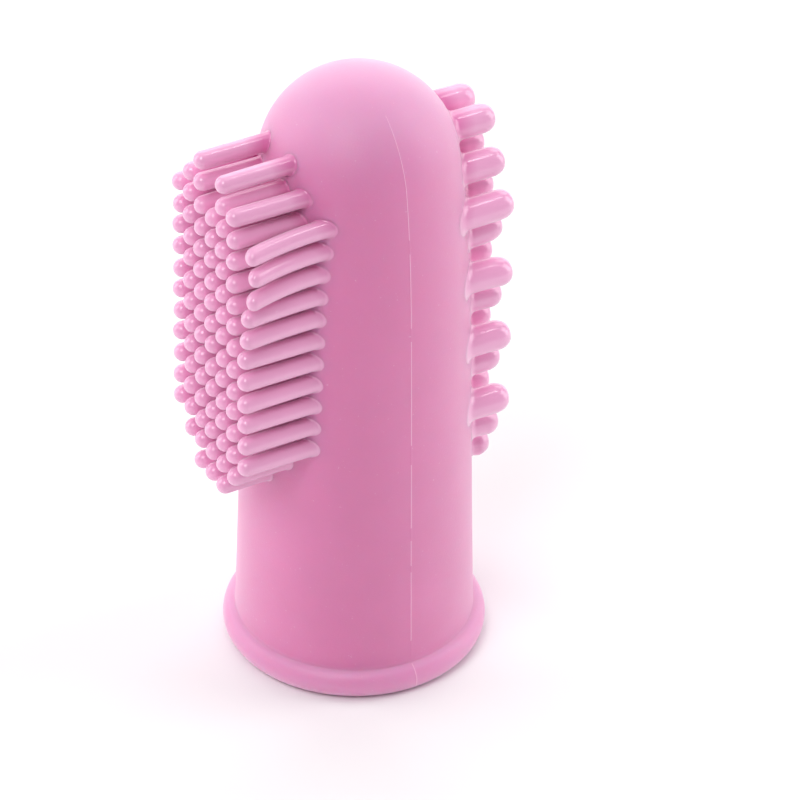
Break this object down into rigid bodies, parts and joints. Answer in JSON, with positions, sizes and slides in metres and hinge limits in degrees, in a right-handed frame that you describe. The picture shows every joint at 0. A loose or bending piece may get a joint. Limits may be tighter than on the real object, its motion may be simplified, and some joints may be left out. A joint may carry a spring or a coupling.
{
  "type": "pet toothbrush",
  "caption": "Soft finger-sleeve pet toothbrush with a domed tip, a rolled rim, a bank of thin bristles on one side and a bank of short massage nubs on the other.",
  "frame": {"origin": "on the sleeve's axis, in the plane of the open rim", "axes": "+Z along the sleeve's axis towards the closed tip, -X the way the bristles point, +X the way the nubs point"},
  "size_m": [0.0229, 0.02, 0.05],
  "materials": {
    "pink_silicone": "satin moulded silicone"
  },
  "bodies": {
    "sleeve": {"finger_sleeve": "pink_silicone", "rim_bead": "pink_silicone", "bristle_roots": "pink_silicone", "nub_roots": "pink_silicone"},
    "bristles_01": {"bristle_row_01": "pink_silicone"},
    "bristles_02": {"bristle_row_02": "pink_silicone"},
    "bristles_03": {"bristle_row_03": "pink_silicone"},
    "bristles_04": {"bristle_row_04": "pink_silicone"},
    "bristles_05": {"bristle_row_05": "pink_silicone"},
    "bristles_06": {"bristle_row_06": "pink_silicone"},
    "bristles_07": {"bristle_row_07": "pink_silicone"},
    "bristles_08": {"bristle_row_08": "pink_silicone"},
    "bristles_09": {"bristle_row_09": "pink_silicone"},
    "bristles_10": {"bristle_row_10": "pink_silicone"},
    "bristles_11": {"bristle_row_11": "pink_silicone"},
    "bristles_12": {"bristle_row_12": "pink_silicone"},
    "bristles_13": {"bristle_row_13": "pink_silicone"},
    "bristles_14": {"bristle_row_14": "pink_silicone"},
    "bristles_15": {"bristle_row_15": "pink_silicone"},
    "nubs_01": {"nub_row_01": "pink_silicone"},
    "nubs_02": {"nub_row_02": "pink_silicone"},
    "nubs_03": {"nub_row_03": "pink_silicone"},
    "nubs_04": {"nub_row_04": "pink_silicone"},
    "nubs_05": {"nub_row_05": "pink_silicone"},
    "nubs_06": {"nub_row_06": "pink_silicone"},
    "nubs_07": {"nub_row_07": "pink_silicone"},
    "nubs_08": {"nub_row_08": "pink_silicone"},
    "nubs_09": {"nub_row_09": "pink_silicone"},
    "nubs_10": {"nub_row_10": "pink_silicone"},
    "nubs_11": {"nub_row_11": "pink_silicone"}
  },
  "joints": [
    {"name": "bristle_flex_01", "type": "hinge", "parent": "sleeve", "child": "bristles_01", "pos_m": [-0.00951, 0, 0.04523], "axis": [0, 1, 0], "range_deg": [-30, 30], "stiffness_Nm_per_rad": 0.00039},
    {"name": "bristle_flex_02", "type": "hinge", "parent": "sleeve", "child": "bristles_02", "pos_m": [-0.00951, 0, 0.04331], "axis": [0, 1, 0], "range_deg": [-30, 30], "stiffness_Nm_per_rad": 0.000746},
    {"name": "bristle_flex_03", "type": "hinge", "parent": "sleeve", "child": "bristles_03", "pos_m": [-0.00951, 0, 0.04139], "axis": [0, 1, 0], "range_deg": [-30, 30], "stiffness_Nm_per_rad": 0.00129},
    {"name": "bristle_flex_04", "type": "hinge", "parent": "sleeve", "child": "bristles_04", "pos_m": [-0.00951, 0, 0.03946], "axis": [0, 1, 0], "range_deg": [-30, 30], "stiffness_Nm_per_rad": 0.00134},
    {"name": "bristle_flex_05", "type": "hinge", "parent": "sleeve", "child": "bristles_05", "pos_m": [-0.00951, 0, 0.03754], "axis": [0, 1, 0], "range_deg": [-30, 30], "stiffness_Nm_per_rad": 0.00139},
    {"name": "bristle_flex_06", "type": "hinge", "parent": "sleeve", "child": "bristles_06", "pos_m": [-0.00951, 0, 0.03562], "axis": [0, 1, 0], "range_deg": [-30, 30], "stiffness_Nm_per_rad": 0.00143},
    {"name": "bristle_flex_07", "type": "hinge", "parent": "sleeve", "child": "bristles_07", "pos_m": [-0.00951, 0, 0.0337], "axis": [0, 1, 0], "range_deg": [-30, 30], "stiffness_Nm_per_rad": 0.00145},
    {"name": "bristle_flex_08", "type": "hinge", "parent": "sleeve", "child": "bristles_08", "pos_m": [-0.00951, 0, 0.03178], "axis": [0, 1, 0], "range_deg": [-30, 30], "stiffness_Nm_per_rad": 0.00148},
    {"name": "bristle_flex_09", "type": "hinge", "parent": "sleeve", "child": "bristles_09", "pos_m": [-0.00951, 0, 0.02985], "axis": [0, 1, 0], "range_deg": [-30, 30], "stiffness_Nm_per_rad": 0.0015},
    {"name": "bristle_flex_10", "type": "hinge", "parent": "sleeve", "child": "bristles_10", "pos_m": [-0.00951, 0, 0.02793], "axis": [0, 1, 0], "range_deg": [-30, 30], "stiffness_Nm_per_rad": 0.00151},
    {"name": "bristle_flex_11", "type": "hinge", "parent": "sleeve", "child": "bristles_11", "pos_m": [-0.00951, 0, 0.02601], "axis": [0, 1, 0], "range_deg": [-30, 30], "stiffness_Nm_per_rad": 0.00153},
    {"name": "bristle_flex_12", "type": "hinge", "parent": "sleeve", "child": "bristles_12", "pos_m": [-0.00951, 0, 0.02409], "axis": [0, 1, 0], "range_deg": [-30, 30], "stiffness_Nm_per_rad": 0.00155},
    {"name": "bristle_flex_13", "type": "hinge", "parent": "sleeve", "child": "bristles_13", "pos_m": [-0.00951, 0, 0.02217], "axis": [0, 1, 0], "range_deg": [-30, 30], "stiffness_Nm_per_rad": 0.00157},
    {"name": "bristle_flex_14", "type": "hinge", "parent": "sleeve", "child": "bristles_14", "pos_m": [-0.00951, 0, 0.02024], "axis": [0, 1, 0], "range_deg": [-30, 30], "stiffness_Nm_per_rad": 0.00123},
    {"name": "bristle_flex_15", "type": "hinge", "parent": "sleeve", "child": "bristles_15", "pos_m": [-0.00951, 0, 0.01832], "axis": [0, 1, 0], "range_deg": [-30, 30], "stiffness_Nm_per_rad": 0.000792},
    {"name": "nub_flex_01", "type": "hinge", "parent": "sleeve", "child": "nubs_01", "pos_m": [0.00659, 0, 0.04424], "axis": [0, -1, 0], "range_deg": [-8, 8], "stiffness_Nm_per_rad": 0.00463},
    {"name": "nub_flex_02", "type": "hinge", "parent": "sleeve", "child": "nubs_02", "pos_m": [0.00659, 0, 0.04132], "axis": [0, -1, 0], "range_deg": [-8, 8], "stiffness_Nm_per_rad": 0.00714},
    {"name": "nub_flex_03", "type": "hinge", "parent": "sleeve", "child": "nubs_03", "pos_m": [0.00659, 0, 0.0384], "axis": [0, -1, 0], "range_deg": [-8, 8], "stiffness_Nm_per_rad": 0.0093},
    {"name": "nub_flex_04", "type": "hinge", "parent": "sleeve", "child": "nubs_04", "pos_m": [0.00659, 0, 0.03548], "axis": [0, -1, 0], "range_deg": [-8, 8], "stiffness_Nm_per_rad": 0.0086},
    {"name": "nub_flex_05", "type": "hinge", "parent": "sleeve", "child": "nubs_05", "pos_m": [0.00659, 0, 0.03256], "axis": [0, -1, 0], "range_deg": [-8, 8], "stiffness_Nm_per_rad": 0.0105},
    {"name": "nub_flex_06", "type": "hinge", "parent": "sleeve", "child": "nubs_06", "pos_m": [0.00659, 0, 0.02964], "axis": [0, -1, 0], "range_deg": [-8, 8], "stiffness_Nm_per_rad": 0.00946},
    {"name": "nub_flex_07", "type": "hinge", "parent": "sleeve", "child": "nubs_07", "pos_m": [0.00659, 0, 0.02672], "axis": [0, -1, 0], "range_deg": [-8, 8], "stiffness_Nm_per_rad": 0.0113},
    {"name": "nub_flex_08", "type": "hinge", "parent": "sleeve", "child": "nubs_08", "pos_m": [0.00659, 0, 0.0238], "axis": [0, -1, 0], "range_deg": [-8, 8], "stiffness_Nm_per_rad": 0.0102},
    {"name": "nub_flex_09", "type": "hinge", "parent": "sleeve", "child": "nubs_09", "pos_m": [0.00659, 0, 0.02088], "axis": [0, -1, 0], "range_deg": [-8, 8], "stiffness_Nm_per_rad": 0.012},
    {"name": "nub_flex_10", "type": "hinge", "parent": "sleeve", "child": "nubs_10", "pos_m": [0.00659, 0, 0.01796], "axis": [0, -1, 0], "range_deg": [-8, 8], "stiffness_Nm_per_rad": 0.0109},
    {"name": "nub_flex_11", "type": "hinge", "parent": "sleeve", "child": "nubs_11", "pos_m": [0.00659, 0, 0.01504], "axis": [0, -1, 0], "range_deg": [-8, 8], "stiffness_Nm_per_rad": 0.00858}
  ],
  "couplings": [
    {"joint": "bristle_flex_01", "follows": "bristle_flex_08", "ratio": 1},
    {"joint": "bristle_flex_02", "follows": "bristle_flex_08", "ratio": 1},
    {"joint": "bristle_flex_03", "follows": "bristle_flex_08", "ratio": 1},
    {"joint": "bristle_flex_04", "follows": "bristle_flex_08", "ratio": 1},
    {"joint": "bristle_flex_05", "follows": "bristle_flex_08", "ratio": 1},
    {"joint": "bristle_flex_06", "follows": "bristle_flex_08", "ratio": 1},
    {"joint": "bristle_flex_07", "follows": "bristle_flex_08", "ratio": 1},
    {"joint": "bristle_flex_09", "follows": "bristle_flex_08", "ratio": 1},
    {"joint": "bristle_flex_10", "follows": "bristle_flex_08", "ratio": 1},
    {"joint": "bristle_flex_11", "follows": "bristle_flex_08", "ratio": 1},
    {"joint": "bristle_flex_12", "follows": "bristle_flex_08", "ratio": 1},
    {"joint": "bristle_flex_13", "follows": "bristle_flex_08", "ratio": 1},
    {"joint": "bristle_flex_14", "follows": "bristle_flex_08", "ratio": 1},
    {"joint": "bristle_flex_15", "follows": "bristle_flex_08", "ratio": 1},
    {"joint": "nub_flex_01", "follows": "nub_flex_05", "ratio": 1},
    {"joint": "nub_flex_02", "follows": "nub_flex_05", "ratio": 1},
    {"joint": "nub_flex_03", "follows": "nub_flex_05", "ratio": 1},
    {"joint": "nub_flex_04", "follows": "nub_flex_05", "ratio": 1},
    {"joint": "nub_flex_06", "follows": "nub_flex_05", "ratio": 1},
    {"joint": "nub_flex_07", "follows": "nub_flex_05", "ratio": 1},
    {"joint": "nub_flex_08", "follows": "nub_flex_05", "ratio": 1},
    {"joint": "nub_flex_09", "follows": "nub_flex_05", "ratio": 1},
    {"joint": "nub_flex_10", "follows": "nub_flex_05", "ratio": 1},
    {"joint": "nub_flex_11", "follows": "nub_flex_05", "ratio": 1}
  ]
}
